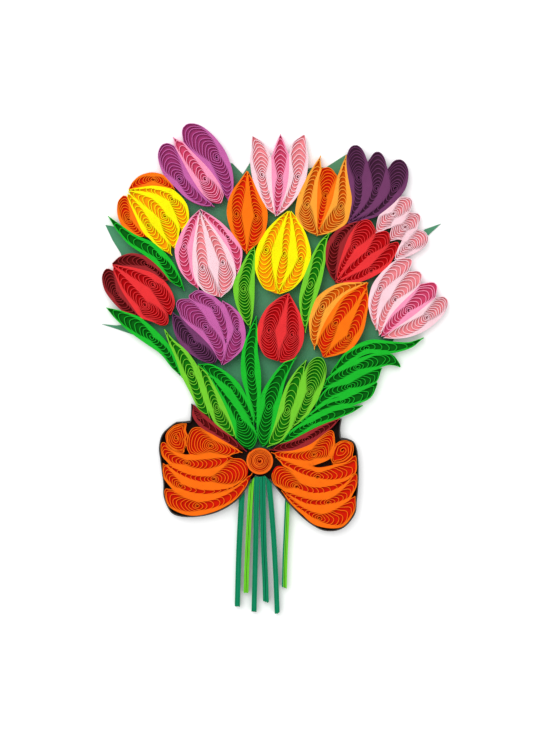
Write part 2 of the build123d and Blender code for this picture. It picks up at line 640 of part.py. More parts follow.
def settle(outlines, firm):
    for _ in range(SETTLE_PASSES):
        boxes = [box_of(outline) for outline in outlines]
        for i, one in enumerate(outlines):
            for j in range(i + 1, len(outlines)):
                if boxes_meet(boxes[i], boxes[j], COIL_GAP):
                    press_apart(one, outlines[j], COIL_GAP, False)
                    press_apart(outlines[j], one, COIL_GAP, False)
            for block in firm:
                if boxes_meet(boxes[i], box_of(block), COIL_GAP):
                    press_apart(one, block, COIL_GAP, True)
                    push_out_of_firm(block, one, COIL_GAP)
            keep_open(one)


# The open middle of a coil, from its settled outline
def coil_line(outline):
    half_count = len(outline) // 2
    middles = [middle_of(outline, i) for i in range(half_count + 1)]
    halves = []
    for i in range(half_count + 1):
        left = outline[i]
        right = outline[-i] if i > 0 else outline[0]
        halves.append([(left[0] - right[0]) / 2, (left[1] - right[1]) / 2])
    return middles, halves, lengths_along(middles)


def at_length(line, distance):
    middles, halves, total = line
    i = 0
    while i < len(total) - 2 and total[i + 1] < distance:
        i += 1
    u = (distance - total[i]) / (total[i + 1] - total[i])
    u = min(max(u, 0.0), 1.0)
    centre = [middles[i][k] + u * (middles[i + 1][k] - middles[i][k]) for k in (0, 1)]
    half = [halves[i][k] + u * (halves[i + 1][k] - halves[i][k]) for k in (0, 1)]
    return centre, half


def core_place(line, core):
    middles, _, total = line
    best = None
    for i in range(len(middles) - 1):
        for step in range(CORE_STEPS + 1):
            distance = total[i] + (total[i + 1] - total[i]) * step / CORE_STEPS
            centre, half = at_length(line, distance)
            gap = math.dist(centre, core)
            if best is None or gap < best[0]:
                best = (gap, distance, centre, half)
    _, distance, centre, half = best
    size = math.hypot(*half)
    side = ((core[0] - centre[0]) * half[0] + (core[1] - centre[1]) * half[1]) / (size * size)
    return distance, min(max(side, -COLUMN_SHARE), COLUMN_SHARE)


# The gaps between a roll's turns: crescents that point to the coil's two ends, and the
# eye left by the rolling needle
def turn_gaps(outline, core):
    line = coil_line(outline)
    reach = line[2][-1]
    core_at, side = core_place(line, core)

    def column(distance, swing):
        end = reach - core_at if distance > core_at else core_at
        fade = 1 - ((distance - core_at) / end) ** 2
        centre, half = at_length(line, distance)
        share = side * fade + swing * (1 - abs(side) * fade)
        return [centre[k] + half[k] * share for k in (0, 1)]

    gaps = []
    for end, way in ((core_at, -1), (reach - core_at, 1)):
        long_end = end > LONG_END_SHARE * BOUQUET_HEIGHT
        for apex_share, wing_share in (TWO_GAPS if long_end else ONE_GAP):
            apex = column(core_at + way * end * apex_share, 0)
            left = column(core_at + way * end * wing_share, COLUMN_SHARE)
            right = column(core_at + way * end * wing_share, -COLUMN_SHARE)
            between = [(left[k] + right[k]) / 2 for k in (0, 1)]
            hollow = [between[k] + (apex[k] - between[k]) * HOLLOW_SHARE for k in (0, 1)]
            gaps.append([apex, left, hollow, right])
    middle = column(core_at, 0)
    _, half = at_length(line, core_at)
    size = math.hypot(*half)
    cross = [half[k] / size * EYE_HALF for k in (0, 1)]
    eye = [
        [middle[0] + cross[0], middle[1] + cross[1]],
        [middle[0] - cross[1], middle[1] + cross[0]],
        [middle[0] - cross[0], middle[1] - cross[1]],
        [middle[0] + cross[1], middle[1] - cross[0]],
    ]
    return [eye] + gaps


# Solids
def ring(points, height):
    return Wire.make_polygon([(x, y, height) for x, y in points], close=True)


def stand_up(flat, middle):
    outline, holes, foot, height = flat
    loops = [[(x - middle[0], y - middle[1]) for x, y in loop] for loop in [outline] + holes]
    face = Face(ring(loops[0], foot), [ring(hole, foot) for hole in loops[1:]])
    return extrude(face, amount=height, dir=(0, 0, 1))


def save(name, solids):
    shape = solids[0] if len(solids) == 1 else Compound(children=solids)
    export_step(shape, f"parts/{name}.step")


# The knot is one tight coil, with the gaps between its turns as two open arcs
KNOT_POINTS = 24
KNOT_ARCS = ((0.36, 0.46, 200, 500), (0.66, 0.75, 20, 320))
KNOT_ARC_STEPS = 8


def knot_outline():
    centre = to_mm(KNOT_CENTRE)
    turn = 2 * math.pi / KNOT_POINTS
    return [
        [centre[0] + KNOT_RADIUS * math.cos(turn * i), centre[1] + KNOT_RADIUS * math.sin(turn * i)]
        for i in range(KNOT_POINTS)
    ]


def knot_gaps():
    centre = to_mm(KNOT_CENTRE)
    gaps = []
    for inner, outer, start, end in KNOT_ARCS:
        angles = [math.radians(start + (end - start) * i / KNOT_ARC_STEPS) for i in range(KNOT_ARC_STEPS + 1)]
        way_out = [(outer * KNOT_RADIUS, angle) for angle in angles[1:-1]]
        way_back = [(inner * KNOT_RADIUS, angle) for angle in angles[::-1]]
        gaps.append([
            [centre[0] + radius * math.cos(angle), centre[1] + radius * math.sin(angle)]
            for radius, angle in way_out + way_back
        ])
    gaps.append([
        [centre[0] + EYE_HALF * math.cos(turn), centre[1] + EYE_HALF * math.sin(turn)]
        for turn in (0, math.pi / 2, math.pi, 3 * math.pi / 2)
    ])
    return gaps


# Points of an open path, and of the same path moved to one side
def path_normals(points):
    normals = []
    for i in range(len(points)):
        before = points[max(i - 1, 0)]
        after = points[min(i + 1, len(points) - 1)]
        run = math.dist(before, after)
        normals.append(((before[1] - after[1]) / run, (after[0] - before[0]) / run))
    return normals


def moved_path(points, distance):
    return [
        [point[0] + normal[0] * distance, point[1] + normal[1] * distance]
        for point, normal in zip(points, path_normals(points))
    ]


# The bow's sheet: its rims leave room for a strip and a lip round every coil, and the
# seam stays where it is, under the tails, which hang over it
def fitted_sheet(rim, seam, coils, tails):
    room = COIL_GAP + RIM_STRIP + RIM_LIP
    sheet = rim + seam
    loose = range(len(rim))
    for _ in range(RIM_PASSES):
        for outline in coils + tails:
            press_apart([sheet[i] for i in loose], outline, room, True)
        for outline in coils:
            for corner in outline:
                depth, away, i, _ = depth_inside(corner, sheet)
                push = room - depth
                for end in (i, (i + 1) % len(sheet)):
                    if push > 0 and end in loose:
                        sheet[end][0] += away[0] * push
                        sheet[end][1] += away[1] * push
    return sheet


def rim_strip(rim):
    return moved_path(rim, RIM_LIP) + moved_path(rim, RIM_LIP + RIM_STRIP)[::-1]


# Each side of a stem runs up its own line until its end meets the bow's edge
def seated_side(side, others):
    start, after = side[0], side[1]
    run = math.dist(start, after)
    heading = [(start[k] - after[k]) / run for k in (0, 1)]
    low, high = -run / 2, run / 2
    for _ in range(SEAT_STEPS):
        reach = (low + high) / 2
        end = [start[k] + heading[k] * reach for k in (0, 1)]
        gap = min(-depth_inside(end, other)[0] for other in others)
        if gap > STEM_SEAT:
            low = reach
        else:
            high = reach
    return [[start[k] + heading[k] * low for k in (0, 1)]] + side[1:]


def stem_outline(path, others):
    half = STEM_THICKNESS / 2
    one_side = seated_side(moved_path(path, half), others)
    other_side = seated_side(moved_path(path, -half), others)
    return one_side + other_side[::-1]


def fold_slot(path):
    half = STEM_FOLD_GAP / 2
    total = lengths_along(path)[-1]
    first, _ = along(path, STEM_FOLD_END / total)
    last, _ = along(path, 1 - STEM_FOLD_END / total)
    inside = [first] + path[1:-1] + [last]
    return moved_path(inside, half) + moved_path(inside, -half)[::-1]


# Build
groups = all_coils()
outlines = {name: [list_to_mm(free_outline(piece)) for piece in pieces] for name, pieces in groups.items()}
every_outline = [outline for pieces in outlines.values() for outline in pieces]
knot = knot_outline()
# A flower's nodes, or a side of the bow, share all but the last word of their names
bunches = [name.rsplit("_", 1)[0] for name, pieces in outlines.items() for _ in pieces]
draw_together(every_outline, bunches)
settle(every_outline, [knot])

tails = outlines["bow_tail_left"] + outlines["bow_tail_right"]
bow_coils = [outline for name in BOW for outline in outlines[name] if outline not in tails] + [knot]
rims = (BOW_RIM_LEFT, BOW_FOOT, BOW_RIM_RIGHT)
bow_sheet = fitted_sheet([point for rim in rims for point in list_to_mm(rim)], list_to_mm(BOW_SEAM),
                         bow_coils, tails)
right_start = len(BOW_RIM_LEFT) + len(BOW_FOOT)
right_end = right_start + len(BOW_RIM_RIGHT)

# Each node is a list of flat shapes: outline, holes, foot height and height
flats = {}
bow_foot = 2 * SHEET_THICKNESS
for name, pieces in groups.items():
    foot = bow_foot if name in BOW else SHEET_THICKNESS
    flats[name] = [
        (outline, turn_gaps(outline, to_mm(piece["core"])), foot, PAPER_STRIP)
        for piece, outline in zip(pieces, outlines[name])
    ]
flats["bow_knot"] = [(knot, knot_gaps(), bow_foot, PAPER_STRIP)]
for name, first, last in (("bow_rim_left", 0, len(BOW_RIM_LEFT)), ("bow_rim_right", right_start, right_end)):
    flats[name] = [(rim_strip(bow_sheet[first:last]), [], bow_foot, PAPER_STRIP)]
flats["green_backing"] = [(list_to_mm(GREEN_SHEET), [], 0, SHEET_THICKNESS)]
flats["bow_backing"] = [(bow_sheet, [], SHEET_THICKNESS, SHEET_THICKNESS)]
for name, (path, folded) in STEMS.items():
    middle_line = list_to_mm(path)
    slots = [fold_slot(middle_line)] if folded else []
    flats[name] = [(stem_outline(middle_line, [bow_sheet] + bow_coils), slots, 0, PAPER_STRIP)]

# The origin is under the middle of the whole bouquet
everything = [point for shapes in flats.values() for shape in shapes for point in shape[0]]
left_end, low_end, right_side, high_end = box_of(everything)
middle = ((left_end + right_side) / 2, (low_end + high_end) / 2)
for name, shapes in flats.items():
    save(name, [stand_up(shape, middle) for shape in shapes])
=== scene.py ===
import bpy
import bmesh
import math
import random
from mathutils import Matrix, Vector
from mathutils.bvhtree import BVHTree


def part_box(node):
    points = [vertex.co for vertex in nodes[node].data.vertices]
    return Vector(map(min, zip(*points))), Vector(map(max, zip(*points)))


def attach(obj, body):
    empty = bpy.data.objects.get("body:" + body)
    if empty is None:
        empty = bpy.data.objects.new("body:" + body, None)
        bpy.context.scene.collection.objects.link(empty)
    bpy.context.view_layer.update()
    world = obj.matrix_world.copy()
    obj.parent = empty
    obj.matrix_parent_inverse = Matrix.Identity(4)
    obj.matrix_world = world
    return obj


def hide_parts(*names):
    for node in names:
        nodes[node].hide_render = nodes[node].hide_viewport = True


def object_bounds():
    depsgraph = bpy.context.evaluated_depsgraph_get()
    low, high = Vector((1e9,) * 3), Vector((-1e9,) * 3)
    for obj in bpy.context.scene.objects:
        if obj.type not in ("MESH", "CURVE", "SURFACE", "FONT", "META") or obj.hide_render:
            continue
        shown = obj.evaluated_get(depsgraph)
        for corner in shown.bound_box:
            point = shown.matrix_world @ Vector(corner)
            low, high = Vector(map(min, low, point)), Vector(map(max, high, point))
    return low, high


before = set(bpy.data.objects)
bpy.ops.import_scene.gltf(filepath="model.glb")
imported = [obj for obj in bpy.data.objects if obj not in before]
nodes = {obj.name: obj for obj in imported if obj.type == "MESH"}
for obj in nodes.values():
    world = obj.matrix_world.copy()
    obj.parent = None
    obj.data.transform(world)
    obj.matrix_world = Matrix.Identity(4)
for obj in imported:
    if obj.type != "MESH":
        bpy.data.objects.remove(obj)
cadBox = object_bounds()
bpy.ops.object.select_all(action="DESELECT")
print("frame loaded:", len(nodes), "pieces")

tiny = 1e-6        # counts as nothing, in metres or as a share
toMm = 1000


# Small helpers
def srgb(red, green, blue):
    # picture values to the linear ones that a shader takes
    values = []
    for value in (red / 255, green / 255, blue / 255):
        values.append(value / 12.92 if value < 0.04045 else ((value + 0.055) / 1.055) ** 2.4)
    return (*values, 1.0)


def camelName(nodeName):
    words = nodeName.split("_")
    return words[0] + "".join(word.capitalize() for word in words[1:])


def pickOnly(thing):
    bpy.ops.object.select_all(action="DESELECT")
    thing.select_set(True)
    bpy.context.view_layer.objects.active = thing


def lerp(a, b, share):
    return a + (b - a) * share


def limited(value):
    # held between nothing and the whole
    return min(max(value, 0.0), 1.0)


def dress(piece, nodeName):
    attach(piece, "root")
    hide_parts(nodeName)


# Paper finishes
paperLook = {
    "roughness": 0.85,
    "gloss": 0.12,
    "mottle": 0.075,           # how much lighter and darker the dye gets
    "mottleScale": 260,        # its clouds, per metre
    "mottleDetail": 7,
    "mottleRoughness": 0.72,
    "mottleEdges": (0.3, 0.7),
    "fibreScale": 5200,
    "fibreDetail": 2,
    "fibreBump": 0.12,
    "fibreHeight": 0.00004,
}
papers = {
    # strip colour, then the painted shade between the turns, tinted for light through the paper
    "yellow": ((255, 240, 0), (248, 158, 0)),
    "orange": ((253, 116, 10), (214, 38, 0)),
    "amber": ((254, 164, 54), (204, 92, 0)),
    "palePink": ((255, 209, 218), (233, 141, 147)),
    "hotPink": ((251, 150, 186), (202, 70, 109)),
    "magenta": ((196, 96, 164), (166, 58, 117)),
    "darkPurple": ((113, 57, 101), (78, 40, 66)),
    "red": ((231, 50, 53), (176, 0, 8)),
    "darkRed": ((152, 38, 42), (100, 10, 12)),
    "green": ((24, 184, 42), (0, 98, 14)),
    "lightGreen": ((114, 202, 46), (14, 120, 6)),
    "bowOrange": ((253, 111, 10), (204, 26, 0)),
    "knotOrange": ((247, 107, 20), (188, 32, 0)),
    "tealStem": ((12, 135, 92), (0, 82, 55)),
    "limeStem": ((112, 208, 45), (40, 130, 20)),
    "bowSheet": ((45, 40, 35), (45, 40, 35)),
    "rimGrey": ((72, 66, 63), (72, 66, 63)),
    "sageSheet": ((80, 145, 110), (80, 145, 110)),
}
paperMaterials = {}


def paperMaterial(name, tone):
    material = bpy.data.materials.new(name)
    material.use_nodes = True
    tree = material.node_tree
    shader = tree.nodes["Principled BSDF"]
    place = tree.nodes.new("ShaderNodeTexCoord")
    dye = tree.nodes.new("ShaderNodeTexNoise")
    dye.inputs["Scale"].default_value = paperLook["mottleScale"]
    dye.inputs["Detail"].default_value = paperLook["mottleDetail"]
    dye.inputs["Roughness"].default_value = paperLook["mottleRoughness"]
    ramp = tree.nodes.new("ShaderNodeValToRGB")
    changes = (1 - paperLook["mottle"], 1 + paperLook["mottle"])
    for element, edge, change in zip(ramp.color_ramp.elements, paperLook["mottleEdges"], changes):
        element.position = edge
        element.color = (*[min(1.0, part * change) for part in tone[:3]], 1)
    fibre = tree.nodes.new("ShaderNodeTexNoise")
    fibre.inputs["Scale"].default_value = paperLook["fibreScale"]
    fibre.inputs["Detail"].default_value = paperLook["fibreDetail"]
    bump = tree.nodes.new("ShaderNodeBump")
    bump.inputs["Strength"].default_value = paperLook["fibreBump"]
    bump.inputs["Distance"].default_value = paperLook["fibreHeight"]
    shader.inputs["Roughness"].default_value = paperLook["roughness"]
    shader.inputs["Specular IOR Level"].default_value = paperLook["gloss"]
    link = tree.links.new
    link(place.outputs["Object"], dye.inputs["Vector"])
    link(place.outputs["Object"], fibre.inputs["Vector"])
    link(dye.outputs["Fac"], ramp.inputs["Fac"])
    link(ramp.outputs["Color"], shader.inputs["Base Color"])
    link(fibre.outputs["Fac"], bump.inputs["Height"])
    link(bump.outputs["Normal"], shader.inputs["Normal"])
    return material


for paper, (strip, paintedShade) in papers.items():
    stripMaterial = paperMaterial(paper + "Paper", srgb(*strip))
    # the second material is painted shade, for the sheets set between the turns
    paintedShadeMaterial = paperMaterial(paper + "Deep", srgb(*paintedShade))
    paperMaterials[paper] = (stripMaterial, paintedShadeMaterial)
print("paper finishes:", len(papers))


# Reading a rolled petal's outline and core from its solid
reading = {
    "lidDepth": 1e-5,          # a face this near the top belongs to the lid
    "squareWithin": 1.03,      # the needle's eye has four corners equally far from its middle
    "pinched": 3.3,            # a pinched end widens this many times to the next station
    "pinchedToRound": 1.2,     # and a round one widens by this much less
    "slopeSpan": 2,            # places on each side that the slope is read over
    "steepest": 1.8,
}


def area(points):
    total = 0.0
    for here, after in zip(points, points[1:] + points[:1]):
        total += here.x * after.y - after.x * here.y
    return total / 2


def topLoops(nodeName):
    # the outlines of the solid's lid, and the holes in them
    copy = bmesh.new()
    copy.from_mesh(nodes[nodeName].data)
    bmesh.ops.remove_doubles(copy, verts=copy.verts, dist=tiny)
    top = max(vert.co.z for vert in copy.verts)
    lidFrom = top - reading["lidDepth"]
    lid = [face for face in copy.faces if all(vert.co.z > lidFrom for vert in face.verts)]
    inLid = set(lid)
    follow = {}
    for face in lid:
        for loop in face.loops:
            if sum(other in inLid for other in loop.edge.link_faces) == 1:
                follow[loop.vert] = loop.link_loop_next.vert
    loops = []
    while follow:
        vert = next(iter(follow))
        points = []
        while vert in follow:
            points.append(Vector((vert.co.x, vert.co.y)))
            vert = follow.pop(vert)
        first = min(range(len(points)), key=lambda i: (points[i].x, points[i].y))
        loops.append(points[first:] + points[:first])
    # from left to right, so that each coil gets the same seed in every run
    loops.sort(key=lambda points: (points[0].x, points[0].y))
    copy.free()
    outer = [points for points in loops if area(points) > 0]
    holes = [points for points in loops if area(points) < 0]
    return outer, holes


def inside(point, outline):
    found = False
    for a, b in zip(outline, outline[1:] + outline[:1]):
        if (a.y > point.y) != (b.y > point.y):
            if point.x < a.x + (point.y - a.y) * (b.x - a.x) / (b.y - a.y):
                found = not found
    return found


def coreOf(outline, holes):
    # the middle of the needle's eye, which is the only square hole
    for hole in holes:
        centre = sum(hole, Vector((0, 0))) / len(hole)
        reach = [(point - centre).length for point in hole]
        square = len(hole) == 4 and max(reach) < min(reach) * reading["squareWithin"]
        if square and inside(centre, outline):
            return centre
    return sum(outline, Vector((0, 0))) / len(outline)


knotLow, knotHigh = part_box("bow_knot")
knotCentre = ((knotLow + knotHigh) / 2).to_2d()


# One rolled strip
roll = {
    "paper": 0.00015,          # thickness of a strip, m
    "fill": 0.95,              # how much of a turn's pitch the paper takes where turns are pressed
    "openShare": 0.46,         # half width of the open middle, of the coil's half width
    "openFrom": 0.94,          # and how far it varies
    "openTo": 1.06,
    "coreTurns": 2.5,          # free turns round the needle's eye
    "coreRadius": 0.00042,
    "fewestTurns": 7,
    "mostTurns": 12,
    "leastPitch": 0.00055,     # a short end has room for fewer turns
    "spread": 1.3,             # the turns lie further apart towards the tips
    "roundPacking": 0.35,      # and close up again under a round end
    "roomFirst": 0.7,          # room that the turns need beside the tip, in papers
    "roomSlack": 1.15,
    "roomStep": 0.00005,
    "shake": 0.2,              # how unevenly the turns lie, of their pitch
    "lean": 0.16,              # how far a tip leans, of the open middle's half width
    "leanPower": 3,
    "seam": 0.12,              # part of a turn in which it steps in
    "leastSpread": 0.4,        # half width that a turn keeps, in papers
    "samples": 160,            # places along a coil
    # from the outer half turn inwards, the last for the rest
    "halfTurnSteps": (48, 48, 48, 36, 30, 26),
    "sharpness": 8,            # how sharply a turn bends from one limit to the next
}
arch = {
    "radius": 0.9,             # at a turn's crown, of the open middle's half width
    "flare": 2.5,              # how far back the sides start to widen, of the same
    "pinchedMemory": 0.4,      # how far each turn keeps the shape of the tip outside it
    "roundMemory": 0.82,
    "echoPower": 0.5,          # how much that shape shrinks with the turn
    "echoBelly": 0.25,         # and fills out towards the core
}
roundCoil = {
    "longBelow": 0.4,          # width over length of a coil whose turns arch across it
    "roundAbove": 0.58,        # and of one whose turns keep its whole outline
    "tightTurns": 2.5,         # outer turns of a round coil, which lie on each other
    "tightPitch": 1.25,
}


def spline(points, where, before, after):
    # Catmull-Rom through evenly numbered points
    i = min(int(where), len(points) - 2)
    u = where - i
    p1, p2 = points[i], points[i + 1]
    p0 = points[i - 1] if i > 0 else before
    p3 = points[i + 2] if i + 2 < len(points) else after
    return 0.5 * (2 * p1 + (p2 - p0) * u + (2 * p0 - 5 * p1 + 4 * p2 - p3) * u * u
                  + (3 * p1 - p0 - 3 * p2 + p3) * u ** 3)


def tipRoundness(half, halfAfter):
    ratio = halfAfter.length / max(half.length, tiny)
    return limited((reading["pinched"] - ratio) / reading["pinchedToRound"])


def setSlope(coil):
    # how much longer the side is than the middle line beside it
    coil["slope"] = []
    last = len(coil["half"]) - 1
    for n in range(last + 1):
        low, high = max(n - reading["slopeSpan"], 0), min(n + reading["slopeSpan"], last)
        rise = (coil["half"][high] - coil["half"][low]) / (coil["along"][high] - coil["along"][low])
        coil["slope"].append(min(math.sqrt(1 + rise * rise), reading["steepest"]))


def readCoil(outline, core):
    # the outline as a middle line with a half width, from the end nearer the knot
    count = len(outline)
    stations = count // 2
    tip = max(range(stations), key=lambda i: (outline[i] - outline[i + stations]).length)
    farther = (outline[tip] - knotCentre).length > (outline[tip + stations] - knotCentre).length
    near = tip + stations if farther else tip
    middles = []
    halves = []
    for i in range(stations + 1):
        left = outline[(near + i) % count]
        right = outline[(near - i) % count]
        middles.append((left + right) / 2)
        halves.append((left - right) / 2)
    roundNear = tipRoundness(halves[1], halves[2])
    roundFar = tipRoundness(halves[-2], halves[-3])
    coil = {"place": [], "side": [], "half": [], "along": [],
            "roundNear": roundNear, "roundFar": roundFar}
    beforeNear = halves[1] * (1 - 2 * roundNear)
    afterFar = halves[-2] * (1 - 2 * roundFar)
    for n in range(roll["samples"] + 1):
        where = stations * n / roll["samples"]
        half = spline(halves, where, beforeNear, afterFar)
        coil["place"].append(spline(middles, where, middles[1], middles[-2]))
        coil["half"].append(half.length)
        coil["side"].append(half.normalized() if half.length > tiny else None)
    # the outline has no width at its two ends, so these take the direction beside them
    known = [side for side in coil["side"] if side is not None]
    halfWay = len(coil["side"]) // 2
    for n, side in enumerate(coil["side"]):
        if side is None:
            coil["side"][n] = known[0] if n < halfWay else known[-1]
    total = 0.0
    for n, place in enumerate(coil["place"]):
        if n > 0:
            total += (place - coil["place"][n - 1]).length
        coil["along"].append(total)
    setSlope(coil)
    best = min(range(len(coil["place"])), key=lambda n: (coil["place"][n] - core).length)
    coil["coreAt"] = coil["along"][best]
    coil["coreSide"] = (core - coil["place"][best]).dot(coil["side"][best])
    return coil


def valueAt(coil, key, distance):
    # one of the coil's values at this distance along its middle line
    along = coil["along"]
    low, high = 0, len(along) - 1
    while high - low > 1:
        centre = (low + high) // 2
        if along[centre] > distance:
            high = centre
        else:
            low = centre
    share = limited((distance - along[low]) / (along[high] - along[low]))
    values = coil[key]
    return values[low] + (values[high] - values[low]) * share


def softMin(values):
    # the least of the values, with its corners rounded off
    least = min(values)
    if least <= 0:
        return 0.0
    power = roll["sharpness"]
    return least * sum((least / value) ** power for value in values) ** (-1 / power)


def between(values, index):
    low = int(index)
    return lerp(values[low], values[low + 1], index - low)


def rollStrip(coil, seed):
    # the strip's line from its glued outer end to the needle's eye
    dice = random.Random(seed)
    length = coil["along"][-1]
    coreAt, coreSide = coil["coreAt"], coil["coreSide"]
    coreHalf = valueAt(coil, "half", coreAt)
    openHalf = coreHalf * roll["openShare"] * dice.uniform(roll["openFrom"], roll["openTo"])
    turns = round((coreHalf - openHalf) / roll["paper"] + roll["coreTurns"])
    mostInEnd = round(min(coreAt, length - coreAt) / roll["leastPitch"])
    turns = min(max(turns, roll["fewestTurns"]), roll["mostTurns"], mostInEnd)
    longBelow, roundAbove = roundCoil["longBelow"], roundCoil["roundAbove"]
    roundness = limited((2 * coreHalf / length - longBelow) / (roundAbove - longBelow))
    paper = min(roll["paper"], (coreHalf - openHalf) / (turns - roll["coreTurns"]))
    eye = roll["coreRadius"]

    def roomFor(way, reach):
        # where each turn still finds room between the turns outside it
        room = []
        for turn in range(turns + 2):
            distance = reach
            need = roll["roomFirst"] * paper + turn * paper
            while (turn > 0 and distance > eye
                   and valueAt(coil, "half", coreAt + way * distance) < need * roll["roomSlack"]):
                distance -= roll["roomStep"]
            room.append(distance)
        return room

    def diceFor(most):
        return [dice.uniform(-1, 1) * most for _ in range(turns + 2)]

    def endOf(way, reach, first, rounded):
        return {
            "way": way,
            "reach": reach,
            "first": first,
            "room": roomFor(way, reach),
            "packing": rounded * roll["roundPacking"],
            "memory": lerp(arch["pinchedMemory"], arch["roundMemory"], rounded),
            "shake": diceFor(roll["shake"]),
            "lean": diceFor(roll["lean"]),
        }

    near = endOf(-1, coreAt, 0.0, coil["roundNear"])
    far = endOf(1, length - coreAt, 0.5, coil["roundFar"])

    def apex(end, turn):
        # distance from the core to the crown of this turn
        share = limited(1 - (turn - end["first"]) / (turns - end["first"]))
        bunched = share * share * (3 - 2 * share)
        packed = lerp(share ** roll["spread"], bunched, end["packing"])
        free = eye + (end["reach"] - eye) * packed
        tightTurns = roundCoil["tightTurns"]
        tight = paper * roundCoil["tightPitch"] * min(turn, tightTurns)
        loose = max(turn - tightTurns, 0.0) / (turns - tightTurns)
        free = lerp(free, lerp(end["reach"] - tight, eye, loose), roundness)
        pitch = (end["reach"] - eye) * roll["spread"] * share ** (roll["spread"] - 1) / turns
        index = max(turn - end["first"], 0.0)
        # the outer turn and the ones round the eye lie evenly
        fade = min(index, 1.0) * min(1.0, (turns - turn) / 2)
        free += between(end["shake"], index) * fade * pitch
        return max(min(free, between(end["room"], index)), eye)

    def lean(end, turn):
        index = max(turn - end["first"], 0.0)
        return between(end["lean"], index) * min(index, 1.0)

    def crossing(end, turn, distance):
        # how far this turn has spread from the middle line at this distance from the core
        crown = apex(end, turn)
        past = crown - end["way"] * (distance - coreAt)
        radius = 1 / (1 / (arch["radius"] * openHalf) + 2 / crown)
        flare = 1 + (past / (arch["flare"] * openHalf)) ** 2
        arched = math.sqrt(2 * radius * max(past, 0.0)) * flare
        size = crown / end["reach"]
        outward = max(end["way"] * (distance - coreAt), 0.0) / crown
        echo = valueAt(coil, "half", coreAt + end["way"] * outward * end["reach"])
        echo *= size ** lerp(arch["echoPower"], 1.0, roundness)
        echo *= 1 + arch["echoBelly"] * (1 - outward) * (1 - roundness)
        memory = lerp(end["memory"] ** (turn - end["first"]), 1.0, roundness)
        return lerp(arched, echo, memory)

    halfTurns = [0.0]
    for number in range(2 * turns):
        steps = roll["halfTurnSteps"][min(number, len(roll["halfTurnSteps"]) - 1)]
        halfTurns += [number + (step + 1) / steps for step in range(steps)]
    points = []
    for halfTurn in halfTurns:
        turn = halfTurn / 2
        angle = 2 * math.pi * turn
        reachOut = -math.cos(angle)
        swing = math.sin(angle)
        end = far if reachOut >= 0 else near
        distance = coreAt + end["way"] * apex(end, turn) * abs(reachOut)
        distance = min(max(distance, paper / 2), length - paper / 2)
        fade = 1 - min(abs(distance - coreAt) / end["reach"], 1.0) ** 2
        middle = coreSide * fade
        middle += lean(end, turn) * openHalf * abs(reachOut) ** roll["leanPower"] * min(turn, 1.0)
        half = valueAt(coil, "half", distance)
        # each turn lies right inside the last one, and steps in at the strip's glued outer end
        step = max(turn % 1 - 1 + roll["seam"], 0.0) / roll["seam"]
        rank = turn // 1 + step * step * (3 - 2 * step)
        pressed = (rank * valueAt(coil, "slope", distance) + 0.5) * paper
        way = 1 if swing >= 0 else -1
        spreads = [max(half - way * middle - pressed, roll["leastSpread"] * paper)]
        if turn >= 0.5:
            spreads.append(crossing(near, turn, distance))
        if turn >= 1.0:
            spreads.append(crossing(far, turn, distance))
        spread = 0.0 if abs(swing) < tiny else softMin(spreads)
        side = valueAt(coil, "side", distance) * (middle + way * spread)
        points.append(valueAt(coil, "place", distance) + side)
    return points, paper


def insideBox(point, margin):
    # seen from above, a coil stays within the box of the solids
    low, high = cadBox
    return Vector((min(max(point.x, low.x + margin), high.x - margin),
                   min(max(point.y, low.y + margin), high.y - margin)))


# Between the turns: thin sheets of painted shade, tinted for the light that comes through the paper
web = {
    "depth": 0.0007,
    "thickness": 0.00005,
    "widerThan": 1.4,          # half width in papers, below which there is no sheet
    "inset": 0.6,              # in papers too
    "rungs": 28,
    # a darker painted shade disc lies this deep in the needle's eye
    "eyeDepth": 0.0013,
    "eyeCorners": 12,
    "eyeShare": 0.85,          # of the eye's radius
}
# The strip's inner end curls into the eye
hook = {
    "turns": 0.45,
    "steps": 24,
    "end": 0.00016,            # how near it comes to the middle
    "curl": 1.4,
}
smoothBelow = math.radians(35)     # flatter edges are shaded smooth


def webOutline(coil, paper):
    wide = [n for n, half in enumerate(coil["half"]) if half > paper * web["widerThan"]]
    span = wide[-1] - wide[0]
    rungs = [wide[0] + span * step // web["rungs"] for step in range(web["rungs"] + 1)]
    left = []
    right = []
    for n in rungs:
        reach = coil["side"][n] * (coil["half"][n] - paper * web["inset"])
        left.append(coil["place"][n] + reach)
        right.append(coil["place"][n] - reach)
    return left + right[::-1]


def eyeOutline(coil):
    coreAt = coil["coreAt"]
    centre = valueAt(coil, "place", coreAt) + valueAt(coil, "side", coreAt) * coil["coreSide"]
    points = []
    for step in range(web["eyeCorners"]):
        angle = -2 * math.pi * step / web["eyeCorners"]
        corner = Vector((math.cos(angle), math.sin(angle)))
        points.append(centre + corner * roll["coreRadius"] * web["eyeShare"])
    return points


def hookFrom(points, centre):
    # the strip's last bit, curled towards the middle of the eye
    start = points[-1] - centre
    way = 1 if (points[-2] - centre).cross(start) > 0 else -1
    curled = []
    for step in range(1, hook["steps"] + 1):
        share = step / hook["steps"]
        angle = math.atan2(start.y, start.x) + way * 2 * math.pi * hook["turns"] * share
        radius = lerp(start.length, hook["end"], share ** hook["curl"])
        curled.append(centre + Vector((math.cos(angle), math.sin(angle))) * radius)
    return curled


def curveObject(name, lines, height, closed):
    curve = bpy.data.curves.new(name, "CURVE")
    curve.dimensions = "2D"
    curve.fill_mode = "BOTH" if closed else "NONE"
    curve.extrude = height / 2
    for line in lines:
        path = curve.splines.new("POLY")
        path.points.add(len(line) - 1)
        for corner, place in zip(path.points, line):
            corner.co = (place.x, place.y, 0, 1)
        path.use_cyclic_u = closed
    thing = bpy.data.objects.new(name, curve)
    bpy.context.scene.collection.objects.link(thing)
    return thing


def finishCurve(thing, lift, material):
    thing.location.z = lift
    pickOnly(thing)
    bpy.ops.object.convert(target="MESH")
    bpy.ops.object.transform_apply(location=True, rotation=False, scale=False)
    thing.data.materials.clear()
    thing.data.materials.append(material)
    return thing


